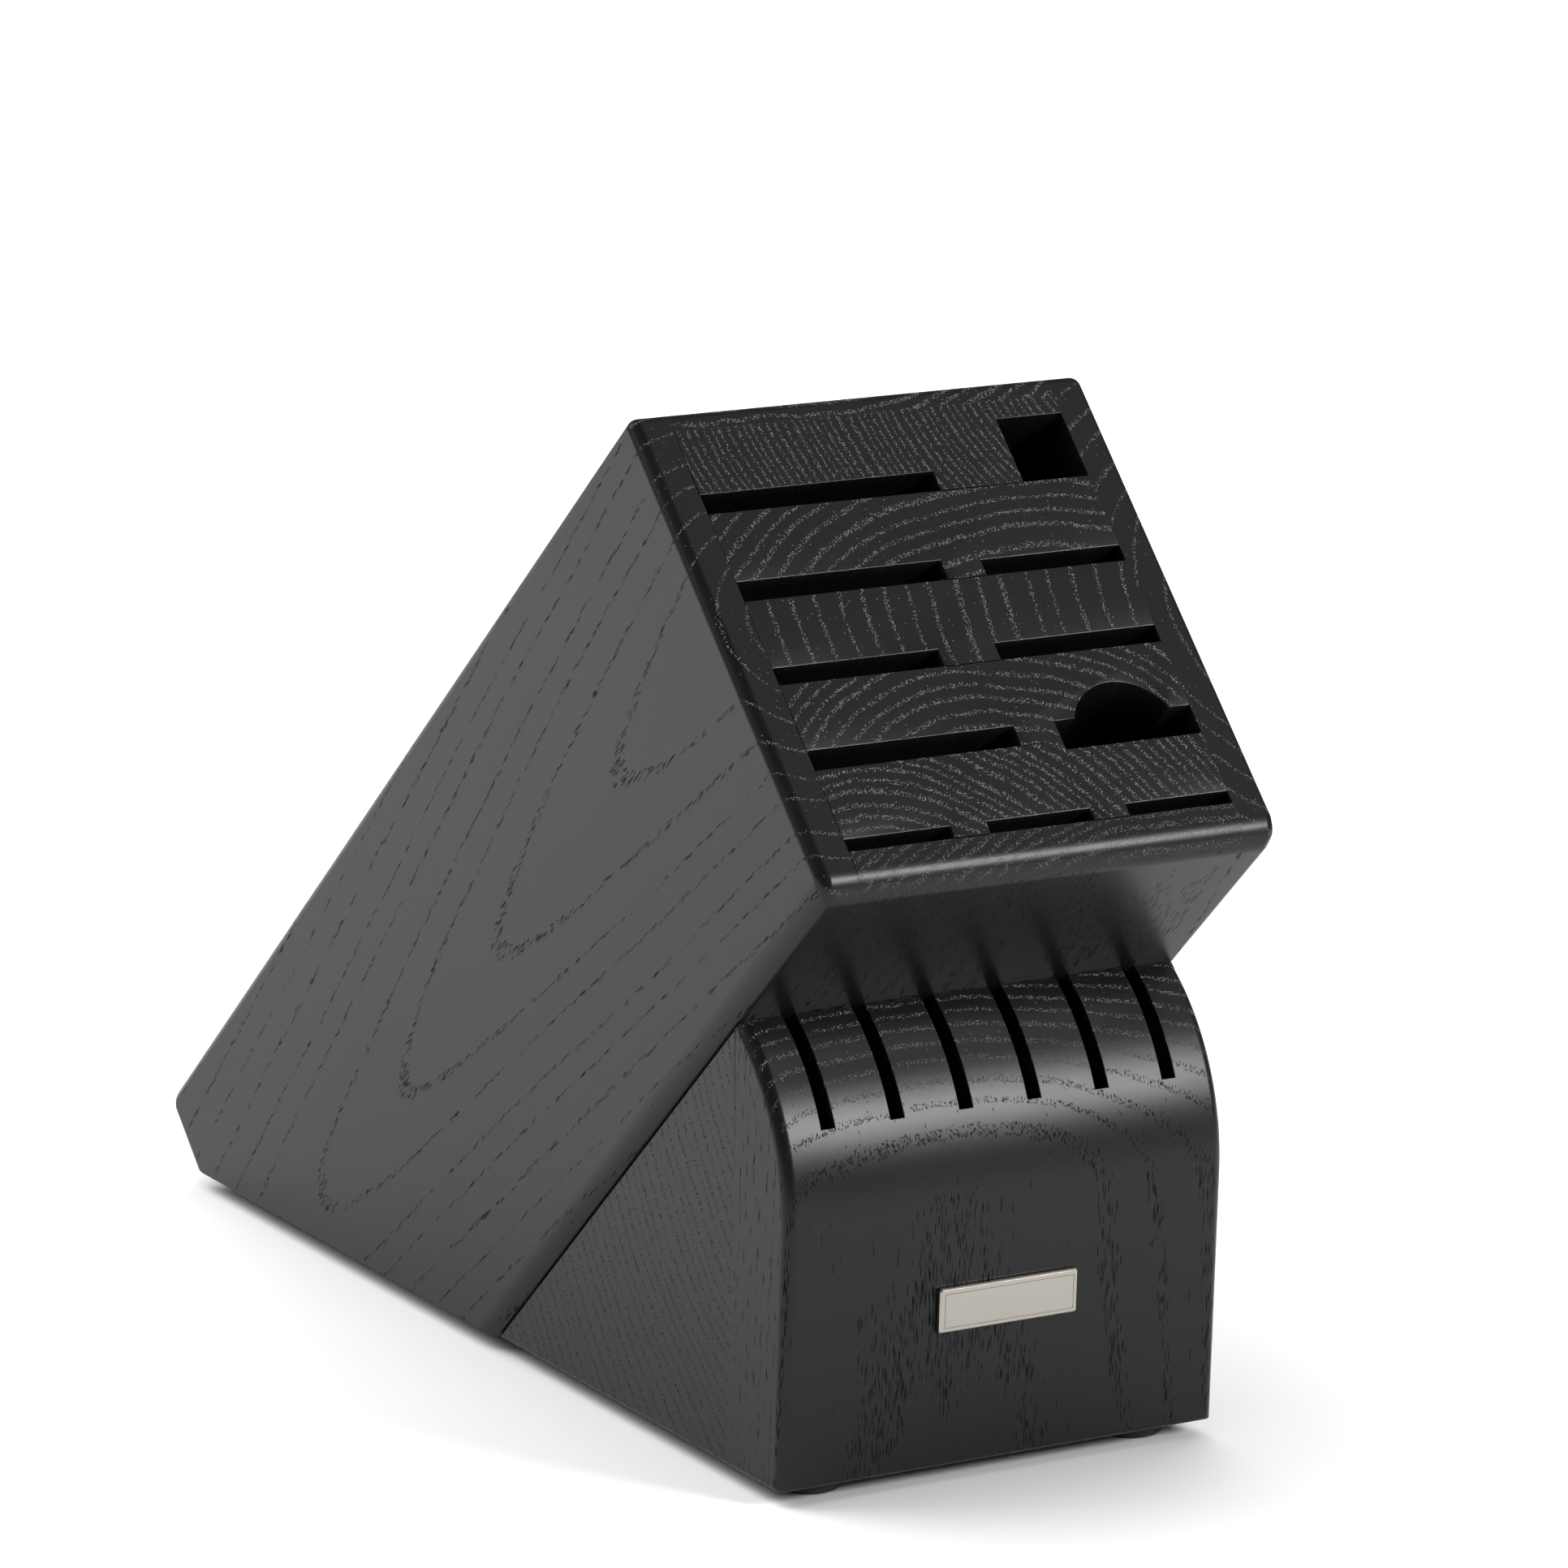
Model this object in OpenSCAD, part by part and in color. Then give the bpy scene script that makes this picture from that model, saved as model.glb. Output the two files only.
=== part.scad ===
// Slanted knife block: a laminated stack of ash boards with seventeen tool openings,
// leaning on a lower front block with a row of upright steak-knife kerfs.
// X is across the block, -Y is the front, +Z is up. Millimetres.
// The origin is on the ground, at the centre of the block's footprint box.

/* [Main block] */
// Width over the two side panels
body_w = 127.8; // [124:0.1:134]
// Thickness of each side panel
side_t = 10.3; // [9:0.1:11]
// Angle between the slot face and the ground
tilt = 45; // [44:0.5:46]
// Height of the top rear corner above the wood's base
top_h = 244.5; // [241:0.5:250]
// Length of the slope at the back
back_l = 323.7; // [320:0.1:326]
// Rounding of the edges around the side panels and the top
edge_r = 3; // [2:0.5:3.5]
// Rounding of the slot face's lower edge
nose_r = 6.3; // [4:0.1:7]
// Rounding of the two edges along the underside
under_r = 6.3; // [4:0.1:7]
// Rounding of the two low corners at the back
heel_r = 8; // [5:0.5:9]

/* [Boards of the main block] */
// Thickness of the back panel
back_t = 5.8; // [4.5:0.1:6.5]
// Thickness of core board 1, which holds the steel's socket
board_1_t = 23.4; // [23:0.1:24]
// Thickness of core board 2
board_2_t = 24.6; // [23:0.1:25]
// Thickness of core board 3
board_3_t = 23.3; // [22.5:0.1:24]
// Thickness of core board 4, which holds the shears
board_4_t = 23.6; // [23:0.1:24.5]
// Thickness of core board 5
board_5_t = 22.1; // [21.5:0.1:23]
// Thickness of the front panel, under the slots
front_panel_t = 10.8; // [10:0.1:12]

/* [Knife slots] */
// Thickness of the carving and chef's knife slots
wide_slot_t = 5.4; // [5:0.1:5.8]
// Thickness of the middle slots
mid_slot_t = 4.6; // [4.2:0.1:5]
// Thickness of the paring knife slots
thin_slot_t = 3.2; // [2.8:0.1:3.6]
// Length of the left slot in row 1
row_1_left = 65; // [60:0.5:68]
// Length of the left slot in row 2
row_2_left = 56.6; // [54:0.1:58]
// Length of the right slot in row 2
row_2_right = 39.6; // [38:0.1:42]
// Length of each slot in row 3
row_3_len = 45.6; // [44:0.1:47]
// Length of the left slot in row 4
row_4_left = 57; // [54:0.5:59]
// Length of each slot in row 5
row_5_len = 29; // [27:0.5:30]
// Width of the steel's socket
socket_w = 18.6; // [18:0.1:20]
// Thickness of the steel's socket, down the slot face
socket_t = 18.2; // [17:0.1:18.2]

/* [Shears slot] */
// Length of the shears slot
shears_len = 38.5; // [37:0.5:40]
// How far the shears slot reaches up into core board 4
shears_up = 5.4; // [5:0.1:6]
// How far the shears slot reaches down into core board 5
shears_down = 2.4; // [2:0.1:3]
// Radius of the round hollow over the shears slot
dome_r = 14.7; // [14:0.1:15]
// Thickness of wood left above the shears hollow
dome_roof = 9.5; // [9:0.1:10]

/* [Front block] */
// Width of the front block
front_w = 123.8; // [121:0.1:127]
// Depth of the front block along its base
front_d = 133.9; // [132:0.1:136]
// Height at which the front face starts to curve back
curve_z = 62.7; // [60:0.1:65]
// Radius of the front face's curve
curve_r = 57.3; // [55:0.1:59]
// Thickness of the front board
front_board_t = 24; // [22:0.5:25]
// Width of each steak knife kerf
kerf_w = 3.6; // [3.2:0.1:4]
// Distance between two kerfs' centres
kerf_pitch = 19.25; // [18.5:0.05:19.5]
// Depth of the kerfs, from the slanted face
kerf_depth = 29.6; // [28:0.1:32]

/* [Small parts] */
// Length of the blank name plate
plate_l = 39; // [36:0.5:42]
// Height of the name plate
plate_h = 11; // [10:0.5:13]
// Thickness of the name plate
plate_t = 1.2; // [1:0.1:1.5]
// Height of the name plate's centre above the wood's base
plate_z = 39.4; // [36:0.1:42]
// Diameter of each rubber foot
foot_d = 17; // [16:0.5:18]
// Height of each rubber foot
foot_h = 4; // [3.5:0.1:4.5]
// Distance of each foot's centre from the middle
foot_x = 46; // [44:0.5:48]
// Diameter of the dowels that join the two blocks
dowel_d = 8; // [6:0.5:8]

/* [Hidden] */
$fn = 96;

ash = [0.16, 0.16, 0.165];
nickel = [0.74, 0.70, 0.65];
black_rubber = [0.06, 0.06, 0.06];
adhesive_foam = [0.12, 0.09, 0.07];
screw_steel = [0.66, 0.66, 0.68];
beech = [0.78, 0.62, 0.44];

// Seams of the stack, measured down the slot face from its top edge
seam_0 = back_t;
seam_1 = seam_0 + board_1_t;
seam_2 = seam_1 + board_2_t;
seam_3 = seam_2 + board_3_t;
seam_4 = seam_3 + board_4_t;
seam_5 = seam_4 + board_5_t;
stack_t = seam_5 + front_panel_t;

core_x = body_w / 2 - side_t;
step_t = 1.1;
dome_top = seam_3 + dome_roof;
dome_t = dome_top + dome_r;
dome_x = core_x - shears_len / 2;
arch_roof = 2;

// Where the base plane meets the front panel's outer face and the end face
foot_w = (top_h - stack_t * sin(tilt)) / cos(tilt);
end_t = (top_h - back_l * cos(tilt)) / sin(tilt);
top_y = front_d + stack_t * cos(tilt) - foot_w * sin(tilt);

// Depth of a point of the stack behind the front face
function stack_y(t, w) = top_y - t * cos(tilt) + w * sin(tilt);

// Middle of the block's depth, between its rounded nose and its rounded heel
nose_y = stack_y(stack_t - nose_r, nose_r) - nose_r;
heel_y = stack_y(heel_r, back_l - heel_r) + heel_r;
mid_y = (nose_y + heel_y) / 2;

// Steak knife kerfs
kerf_count = 6;
rib_w = kerf_pitch - kerf_w;

// Name plate
plate_bevel = 0.4;
plate_corner_r = 0.6;
pad_t = 0.4;
pad_inset = 0.5;

// Feet and their screws
foot_edge_r = 0.8;
front_foot_y = 14;
rear_foot_y = stack_y((seam_1 + seam_2 - wide_slot_t) / 2, 0)
    + ((top_h - (seam_1 + seam_2 - wide_slot_t) / 2 * sin(tilt)) / cos(tilt)) * sin(tilt);
screw_r = 1.5;
screw_head_r = 3;
screw_head_t = 1.8;
screw_grip = 11;
recess_r = 3.6;
recess_t = 1;

// Dowels through the slanted joint
dowel_x = 2 * kerf_pitch;
dowel_w = [100, 168];
dowel_in_panel = 8;
dowel_in_rib = 10;

function unit(v) = v / norm(v);
function corner_half(p, i) =
    let (n = len(p), a = unit(p[(i + n - 1) % n] - p[i]), b = unit(p[(i + 1) % n] - p[i]))
    acos(a * b) / 2;
function tangent_points(p, r, i) =
    let (
        n = len(p),
        a = unit(p[(i + n - 1) % n] - p[i]),
        b = unit(p[(i + 1) % n] - p[i]),
        d = r / tan(corner_half(p, i))
    )
    r > 0 ? [p[i] + a * d, p[i] + b * d] : [p[i]];
function round_centre(p, r, i) =
    let (n = len(p), a = unit(p[(i + n - 1) % n] - p[i]), b = unit(p[(i + 1) % n] - p[i]))
    p[i] + unit(a + b) * r / sin(corner_half(p, i));

// Outline with corner i rounded to radii[i], which may be 0
module rounded_outline(points, radii) {
    polygon([for (i = [0:len(points) - 1]) each tangent_points(points, radii[i], i)]);
    for (i = [0:len(points) - 1])
        if (radii[i] > 0)
            translate(round_centre(points, radii[i], i)) circle(radii[i]);
}

function rectangle(x0, x1, y0, y1) = [[x0, y0], [x1, y0], [x1, y1], [x0, y1]];

// Extrudes an outline, drawn in Y and Z, from x0 to x1
module across(x0, x1) {
    translate([x0, 0, 0]) rotate([90, 0, 90]) linear_extrude(x1 - x0) children();
}

// Puts the wood's base on the feet and the footprint's centre at the origin
module on_feet() {
    translate([0, -mid_y, foot_h]) children();
}

// The stack's own frame: Y runs down the slot face and Z runs into the block
module in_stack() {
    on_feet() translate([0, top_y, top_h]) rotate([180 + tilt, 0, 0]) children();
}

// Side view of the whole main block, in the stack's frame
module block_outline() {
    rounded_outline(
        [[0, 0], [stack_t, 0], [stack_t, foot_w], [end_t, back_l], [0, back_l]],
        [edge_r, nose_r, 0, heel_r, heel_r]
    );
}

// One board or rib of the stack, from x0 to x1 and from t0 to t1 down the slot face
module stack_board(x0, x1, t0, t1) {
    across(x0, x1) intersection() {
        block_outline();
        translate([t0, 0]) square([t1 - t0, back_l]);
    }
}

// The main block's envelope with all its outer edges rounded, cut to x0..x1
module side_panel(x0, x1) {
    half = body_w / 2;
    in_stack() intersection() {
        across(x0, x1) block_outline();
        linear_extrude(back_l)
            rounded_outline(rectangle(-half, half, 0, stack_t), [edge_r, edge_r, under_r, under_r]);
        translate([0, stack_t, 0]) rotate([90, 0, 0]) linear_extrude(stack_t)
            rounded_outline(rectangle(-half, half, 0, back_l), [edge_r, edge_r, edge_r, edge_r]);
    }
}

module left_side_panel() {
    color(ash) side_panel(-body_w / 2, -core_x);
}

module right_side_panel() {
    color(ash) side_panel(core_x, body_w / 2);
}

module back_panel() {
    color(ash) in_stack() stack_board(-core_x, core_x, 0, seam_0);
}

// Board 1 passes over the steel's socket and stops beside it
module core_board_1_top() {
    color(ash) in_stack() stack_board(-core_x, core_x, seam_0, seam_1 - socket_t);
}

module core_board_1() {
    color(ash) in_stack()
        stack_board(-core_x, core_x - socket_w, seam_1 - socket_t, seam_1 - wide_slot_t);
}

module row_1_rib() {
    color(ash) in_stack()
        stack_board(-core_x + row_1_left, core_x - socket_w, seam_1 - wide_slot_t, seam_1);
}

// Board 2 is a step thicker over its narrower right slot
module core_board_2() {
    color(ash) in_stack() difference() {
        union() {
            stack_board(-core_x, core_x, seam_1, seam_2 - wide_slot_t);
            stack_board(-core_x + row_2_left, core_x, seam_2 - wide_slot_t, seam_2 - wide_slot_t + step_t);
        }
        rear_screw_holes();
    }
}

module row_2_rib() {
    color(ash) in_stack()
        stack_board(-core_x + row_2_left, core_x - row_2_right, seam_2 - wide_slot_t + step_t, seam_2);
}

module core_board_3() {
    color(ash) in_stack() stack_board(-core_x, core_x, seam_2, seam_3 - mid_slot_t);
}

module row_3_rib() {
    color(ash) in_stack()
        stack_board(-core_x + row_3_len, core_x - row_3_len, seam_3 - mid_slot_t, seam_3);
}

// Board 4 passes over the shears hollow; the arch beside it closes the hollow's sides
module core_board_4_top() {
    color(ash) in_stack() stack_board(-core_x, core_x, seam_3, dome_top - arch_roof);
}

module core_board_4() {
    color(ash) in_stack()
        stack_board(-core_x, core_x - shears_len, dome_top - arch_roof, seam_4 - shears_up);
}

module shears_arch() {
    color(ash) in_stack() difference() {
        stack_board(core_x - shears_len, core_x, dome_top - arch_roof, seam_4 - shears_up);
        translate([dome_x, dome_t, -1]) cylinder(h = back_l + 2, r = dome_r);
    }
}

module row_4_rib() {
    color(ash) in_stack()
        stack_board(-core_x + row_4_left, core_x - shears_len, seam_4 - shears_up, seam_4);
}

// Board 5 has the lower part of the shears slot cut into its upper face
module core_board_5_top() {
    color(ash) in_stack()
        stack_board(-core_x, core_x - shears_len, seam_4, seam_4 + shears_down);
}

module core_board_5() {
    color(ash) in_stack()
        stack_board(-core_x, core_x, seam_4 + shears_down, seam_5 - thin_slot_t);
}

module row_5_ribs() {
    gap = (2 * core_x - 3 * row_5_len) / 2;
    color(ash) in_stack()
        for (side = [-1, 1])
            translate([side * (row_5_len + gap) / 2, 0, 0])
                stack_board(-gap / 2, gap / 2, seam_5 - thin_slot_t, seam_5);
}

module front_panel() {
    color(ash) in_stack() difference() {
        stack_board(-core_x, core_x, seam_5, stack_t);
        dowels();
    }
}

// Four dowels across the slanted joint between the front panel and the front block
module dowels() {
    for (side = [-1, 1], w = dowel_w)
        translate([side * dowel_x, stack_t + dowel_in_rib, w]) rotate([90, 0, 0])
            cylinder(h = dowel_in_rib + dowel_in_panel, d = dowel_d);
}

module joining_dowels() {
    color(beech) in_stack() dowels();
}

// Triangle under a line parallel to the slanted joint, which meets the base at depth d
module under_slope(d) {
    polygon([[0, 0], [d, 0], [0, d / tan(tilt)]]);
}

// Side view of the front block: an upright face that curves back under the main block
module front_outline() {
    intersection() {
        union() {
            square([front_d, curve_z]);
            translate([curve_r, curve_z]) circle(curve_r);
        }
        under_slope(front_d);
    }
}

// Below the kerfs
module solid_zone() {
    under_slope(front_d - kerf_depth / cos(tilt));
}

// The front block's envelope with its side edges rounded along the upright face and the curve
module front_envelope() {
    half = front_w / 2;
    linear_extrude(curve_z)
        rounded_outline(rectangle(-half, half, 0, front_d), [edge_r, edge_r, 0, 0]);
    translate([0, curve_r, curve_z]) rotate([0, 90, 0]) rotate_extrude()
        rounded_outline(rectangle(0, curve_r, -half, half), [0, edge_r, edge_r, 0]);
}

// A board of the front block, from y0 to y1 behind the front face
module front_piece(y0, y1) {
    intersection() {
        front_envelope();
        across(-front_w / 2, front_w / 2) intersection() {
            front_outline();
            solid_zone();
            translate([y0, 0]) square([y1 - y0, front_d]);
        }
    }
}

// The ribs between the kerfs, from y0 to y1 behind the front face
module front_ribs(y0, y1) {
    outer_x = (kerf_count - 1) / 2 * kerf_pitch + kerf_w / 2;
    for (i = [0:kerf_count]) {
        x0 = i == 0 ? -front_w / 2 : -outer_x + kerf_w + (i - 1) * kerf_pitch;
        x1 = i == kerf_count ? front_w / 2 : -outer_x + i * kerf_pitch;
        intersection() {
            front_envelope();
            across(x0, x1) difference() {
                intersection() {
                    front_outline();
                    translate([y0, 0]) square([y1 - y0, front_d]);
                }
                solid_zone();
            }
        }
    }
}

module front_board() {
    color(ash) on_feet() difference() {
        front_piece(0, front_board_t);
        front_screw_holes();
    }
}

module front_board_ribs() {
    color(ash) on_feet() front_ribs(0, front_board_t);
}

module wedge_board() {
    color(ash) on_feet() front_piece(front_board_t, front_d);
}

module wedge_board_ribs() {
    color(ash) difference() {
        on_feet() front_ribs(front_board_t, front_d);
        in_stack() dowels();
    }
}

module name_plate() {
    half_l = plate_l / 2;
    half_h = plate_h / 2;
    b = plate_bevel;
    t = plate_t;
    color(nickel) on_feet() translate([0, -pad_t, plate_z]) intersection() {
        rotate([90, 0, 0]) linear_extrude(t)
            rounded_outline(rectangle(-half_l, half_l, -half_h, half_h), [1, 1, 1, 1] * plate_corner_r);
        translate([0, 0, -half_h]) linear_extrude(plate_h)
            polygon([[-half_l, 0], [-half_l, b - t], [b - half_l, -t],
                [half_l - b, -t], [half_l, b - t], [half_l, 0]]);
        across(-half_l, half_l)
            polygon([[0, -half_h], [b - t, -half_h], [-t, b - half_h],
                [-t, half_h - b], [b - t, half_h], [0, half_h]]);
    }
}

// Thin foam that holds the name plate on the front board
module name_plate_pad() {
    color(adhesive_foam) on_feet()
        translate([pad_inset - plate_l / 2, -pad_t, plate_z + pad_inset - plate_h / 2])
            cube([plate_l - 2 * pad_inset, pad_t, plate_h - 2 * pad_inset]);
}

// One rubber foot with a recess below for its screw's head
module foot(x, y) {
    r = foot_d / 2;
    color(black_rubber) translate([x, y - mid_y, 0]) difference() {
        rotate_extrude()
            rounded_outline(rectangle(0, r, 0, foot_h), [0, foot_edge_r, foot_edge_r / 2, 0]);
        translate([0, 0, -1]) cylinder(h = recess_t + 1, r = recess_r);
        translate([0, 0, recess_t]) screw(0, 0);
    }
}

// Countersunk wood screw with its head's face at z = 0 and its shank pointing up
module screw(x, y) {
    translate([x, y, 0]) rotate_extrude()
        polygon([[0, 0], [screw_head_r, 0], [screw_r, screw_head_t],
            [screw_r, foot_h - recess_t + screw_grip - screw_r],
            [0, foot_h - recess_t + screw_grip]]);
}

// Screws at their places on the feet, in the frame that stands on the ground
module screws(y) {
    for (side = [-1, 1])
        translate([0, -mid_y, recess_t]) screw(side * foot_x, y);
}

// The same screws as cutters in the wood's frames
module front_screw_holes() {
    translate([0, mid_y, -foot_h]) screws(front_foot_y);
}

module rear_screw_holes() {
    rotate([-180 - tilt, 0, 0]) translate([0, mid_y - top_y, -foot_h - top_h]) screws(rear_foot_y);
}

module front_left_foot() {
    foot(-foot_x, front_foot_y);
}

module front_right_foot() {
    foot(foot_x, front_foot_y);
}

module rear_left_foot() {
    foot(-foot_x, rear_foot_y);
}

module rear_right_foot() {
    foot(foot_x, rear_foot_y);
}

module foot_screws() {
    color(screw_steel) {
        screws(front_foot_y);
        screws(rear_foot_y);
    }
}

left_side_panel();
right_side_panel();
back_panel();
core_board_1_top();
core_board_1();
row_1_rib();
core_board_2();
row_2_rib();
core_board_3();
row_3_rib();
core_board_4_top();
core_board_4();
shears_arch();
row_4_rib();
core_board_5_top();
core_board_5();
row_5_ribs();
front_panel();
front_board();
front_board_ribs();
wedge_board();
wedge_board_ribs();
joining_dowels();
name_plate();
name_plate_pad();
front_left_foot();
front_right_foot();
rear_left_foot();
rear_right_foot();
foot_screws();
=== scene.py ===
"""Slanted knife block in black stained ash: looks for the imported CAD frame.

Lengths are in metres in the row frame: X across the block, -Y the front, Z up. The stack frame
(x, t, w) has t running down the slanted slot face and w running into the block.
"""
import math

import bmesh
import bpy
from mathutils import Matrix, Vector


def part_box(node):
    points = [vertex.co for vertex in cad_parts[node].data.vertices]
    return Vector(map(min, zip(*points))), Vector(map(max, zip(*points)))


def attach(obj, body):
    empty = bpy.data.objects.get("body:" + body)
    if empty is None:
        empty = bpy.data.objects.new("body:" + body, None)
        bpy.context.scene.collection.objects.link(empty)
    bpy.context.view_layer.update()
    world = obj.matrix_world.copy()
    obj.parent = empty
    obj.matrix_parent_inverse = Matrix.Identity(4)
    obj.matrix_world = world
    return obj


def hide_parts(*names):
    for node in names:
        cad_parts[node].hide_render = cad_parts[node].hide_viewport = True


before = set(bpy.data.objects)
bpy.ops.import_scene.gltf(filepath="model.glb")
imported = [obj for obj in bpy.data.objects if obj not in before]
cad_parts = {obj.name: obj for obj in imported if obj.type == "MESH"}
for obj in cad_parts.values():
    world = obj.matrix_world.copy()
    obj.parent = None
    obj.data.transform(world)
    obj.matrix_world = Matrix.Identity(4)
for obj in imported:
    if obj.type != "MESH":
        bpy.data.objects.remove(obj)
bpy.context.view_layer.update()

MM = 0.001

# ---------------------------------------------------------------- frame of the stack

TILT = math.radians(45)
ACROSS = Vector((1, 0, 0))
DOWN_FACE = Vector((0, -math.cos(TILT), -math.sin(TILT)))
INTO_BLOCK = Vector((0, math.sin(TILT), -math.cos(TILT)))


def cad_points(node):
    """Vertices of a CAD node, in the row frame."""
    return [v.co.copy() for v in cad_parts[node].data.vertices]


FACE_T = min(p.dot(DOWN_FACE) for p in cad_points("back_panel"))
FACE_W = min(p.dot(INTO_BLOCK) for p in cad_points("core_board_3"))
STACK = Matrix((ACROSS, DOWN_FACE, INTO_BLOCK)).transposed().to_4x4()
STACK.translation = FACE_T * DOWN_FACE + FACE_W * INTO_BLOCK
TO_STACK = STACK.inverted()


def span(node, axis):
    """Lowest and highest stack coordinate of a CAD node along axis 0 (x), 1 (t) or 2 (w)."""
    values = [(TO_STACK @ p)[axis] for p in cad_points(node)]
    return min(values), max(values)


HALF_W = span("right_side_panel", 0)[1]
CORE_X = span("back_panel", 0)[1]
STACK_T = span("front_panel", 1)[1]
BACK_L = span("back_panel", 2)[1]
SEAMS = [
    span("back_panel", 1)[1],
    span("row_1_rib", 1)[1],
    span("row_2_rib", 1)[1],
    span("row_3_rib", 1)[1],
    span("row_4_rib", 1)[1],
    span("row_5_ribs", 1)[1],
    STACK_T,
]
FOOT_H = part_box("left_side_panel")[0].z
# On the base plane t + w is the same everywhere, because the stack leans at 45 degrees
BASE_SUM = max((TO_STACK @ p)[1] + (TO_STACK @ p)[2] for p in cad_points("core_board_3"))

# Rounding of the outer edges, the nose, the edges along the underside and the heel
EDGE_R = 3 * MM
NOSE_R = 6.3 * MM
UNDER_R = 6.3 * MM
HEEL_R = 8 * MM
# Softened edges at the base, under the front face and around the openings
BASE_R = 1 * MM
SILL_R = 1.2 * MM
MOUTH_R = 0.3 * MM
ROUND_STEPS = 8

# Each slot of the face: x0, x1 and t0, t1
board_2_points = [TO_STACK @ p for p in cad_points("core_board_2")]
ROW_2_ROOF = max(p[1] for p in board_2_points if p[0] < 0.5 * MM - CORE_X)
ribs_5 = sorted({round((TO_STACK @ p)[0], 6) for p in cad_points("row_5_ribs")})
SOCKET = (span("core_board_1", 0)[1], CORE_X, span("core_board_1", 1)[0], SEAMS[1])
SHEARS = (span("shears_arch", 0)[0], CORE_X, span("shears_arch", 1)[1], span("core_board_5", 1)[0])
DOME_X = (SHEARS[0] + SHEARS[1]) / 2
DOME_R = 14.7 * MM
DOME_T = SEAMS[3] + 9.5 * MM + DOME_R
SLOT_ROWS = [
    [(-CORE_X, span("row_1_rib", 0)[0], span("row_1_rib", 1)[0], SEAMS[1]), SOCKET],
    [
        (-CORE_X, span("row_2_rib", 0)[0], ROW_2_ROOF, SEAMS[2]),
        (span("row_2_rib", 0)[1], CORE_X, span("row_2_rib", 1)[0], SEAMS[2]),
    ],
    [
        (-CORE_X, span("row_3_rib", 0)[0], span("row_3_rib", 1)[0], SEAMS[3]),
        (span("row_3_rib", 0)[1], CORE_X, span("row_3_rib", 1)[0], SEAMS[3]),
    ],
    [(-CORE_X, span("row_4_rib", 0)[0], span("row_4_rib", 1)[0], SEAMS[4]), SHEARS],
    [
        (-CORE_X, ribs_5[0], span("row_5_ribs", 1)[0], SEAMS[5]),
        (ribs_5[1], ribs_5[2], span("row_5_ribs", 1)[0], SEAMS[5]),
        (ribs_5[3], CORE_X, span("row_5_ribs", 1)[0], SEAMS[5]),
    ],
]
ALL_SLOTS = [s for row in SLOT_ROWS for s in row]


def in_slot(x, t):
    """True inside any opening of the slot face."""
    in_dome = math.hypot(x - DOME_X, t - DOME_T) < DOME_R and t < SHEARS[2]
    return in_dome or any(x0 < x < x1 and t0 < t < t1 for x0, x1, t0, t1 in ALL_SLOTS)


# ---------------------------------------------------------------- mesh helpers


def finish_mesh(name, bm, matrix=None, smooth_angle=32):
    """Object from a bmesh, with flat faces kept flat and rounded edges shaded smoothly."""
    if matrix is not None:
        bm.transform(matrix)
    bmesh.ops.recalc_face_normals(bm, faces=bm.faces)
    mesh = bpy.data.meshes.new(name)
    bm.to_mesh(mesh)
    bm.free()
    obj = bpy.data.objects.new(name, mesh)
    bpy.context.scene.collection.objects.link(obj)
    shade(obj, smooth_angle)
    return obj


def shade(obj, angle):
    """Smooth shading across edges flatter than angle, in degrees."""
    mesh = obj.data
    mesh.shade_smooth()
    mesh.set_sharp_from_angle(angle=math.radians(angle))


def new_bmesh():
    """A bmesh whose edges can carry a rounding weight."""
    bm = bmesh.new()
    bm.edges.layers.float.new("bevel_weight_edge")
    return bm


def round_edges(bm, sizes):
    """Marks edges for rounding in one pass, as weights against the widest size, which it returns. sizes
    maps a bmesh edge to the distance that its round takes off.
    """
    widest = max(sizes.values())
    layer = bm.edges.layers.float["bevel_weight_edge"]
    for edge, size in sizes.items():
        edge[layer] = size / widest
    return widest


def apply_modifiers(obj):
    """Bakes the modifiers into the mesh."""
    graph = bpy.context.evaluated_depsgraph_get()
    mesh = bpy.data.meshes.new_from_object(obj.evaluated_get(graph))
    obj.modifiers.clear()
    old = obj.data
    obj.data = mesh
    bpy.data.meshes.remove(old)


def bevelled(obj, width, angle=32):
    """Applies the weighted rounding and evens out the normals of the flats beside it."""
    bevel = obj.modifiers.new("round", "BEVEL")
    bevel.limit_method = "WEIGHT"
    bevel.width = width
    bevel.segments = ROUND_STEPS
    bevel.profile = 0.5
    bevel.use_clamp_overlap = False
    bevel.miter_outer = "MITER_SHARP"
    apply_modifiers(obj)
    shade(obj, angle)
    weighted = obj.modifiers.new("flats", "WEIGHTED_NORMAL")
    weighted.keep_sharp = True
    weighted.weight = 100
    apply_modifiers(obj)
    return obj


def soften(bm, edges):
    """Takes the sharp corner off the edges of an opening's mouth."""
    bmesh.ops.bevel(
        bm, geom=edges, offset=MOUTH_R, offset_type="OFFSET", segments=2,
        profile=0.5, affect="EDGES", clamp_overlap=False,
    )


def bridge(bm, rings):
    """Closed solid through rings that all have the same number of vertices."""
    bm.faces.new(rings[0])
    bm.faces.new(rings[-1])
    for a, b in zip(rings, rings[1:]):
        for i in range(len(a)):
            j = (i + 1) % len(a)
            bm.faces.new((a[i], a[j], b[j], b[i]))


def near(a, b):
    """True where two lengths differ by less than a thousandth of a millimetre."""
    return abs(a - b) < 1e-6


def hand_over(obj, slot, *nodes):
    """Lets a finished piece ride the body in place of its CAD nodes."""
    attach(obj, "root")
    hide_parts(*nodes)
    return obj


# ---------------------------------------------------------------- boards of the main block


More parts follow.
